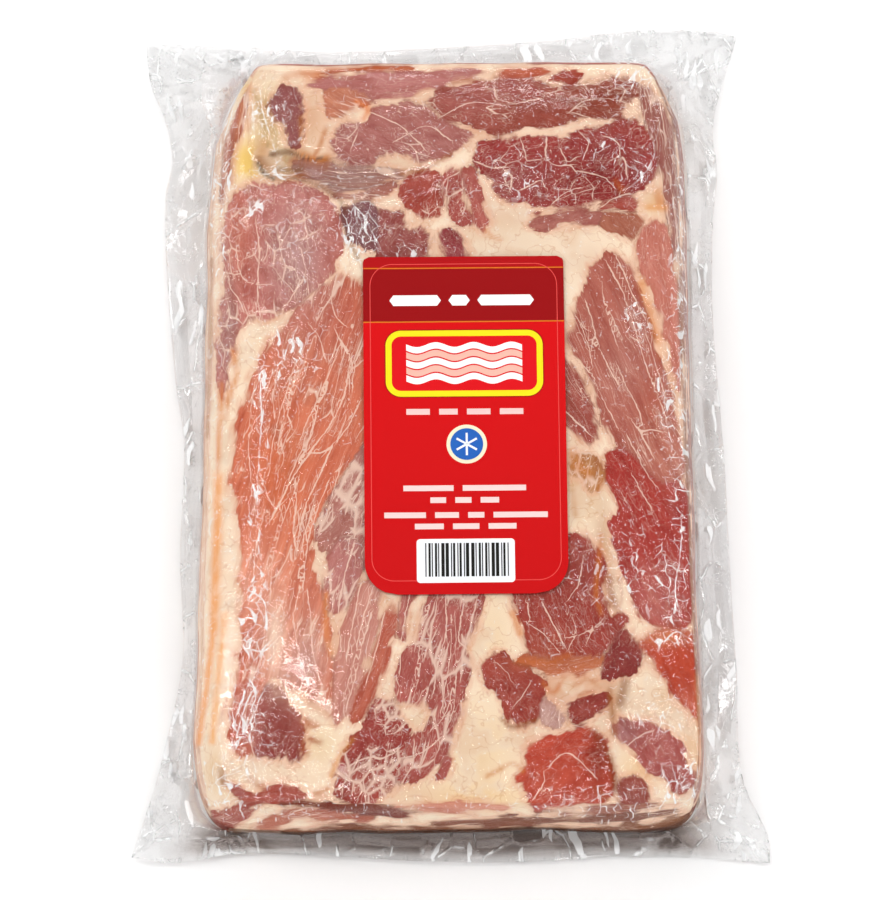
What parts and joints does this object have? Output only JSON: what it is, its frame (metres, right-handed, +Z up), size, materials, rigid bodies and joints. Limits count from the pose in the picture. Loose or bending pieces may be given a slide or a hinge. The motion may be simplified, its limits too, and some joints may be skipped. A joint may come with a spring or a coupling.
{
  "type": "bacon pack",
  "caption": "Sealed clear vacuum pouch of block bacon lying face up, with a sealed film border round it and a printed label on its face.",
  "frame": {"origin": "on the surface that the pack lies on, under the middle of the pouch's outline", "axes": "+Z up out of the labelled face, +Y along the pack towards the end where the label's dark head is, +X to the right when the label is read"},
  "size_m": [0.252, 0.3499, 0.0475],
  "materials": {
    "bacon_in_film": "cured pork, lean and fat, behind clear glossy film",
    "printed_label": "semi-gloss print on coated paper"
  },
  "bodies": {
    "root": {"pouch": "bacon_in_film", "label": "printed_label"}
  },
  "joints": []
}
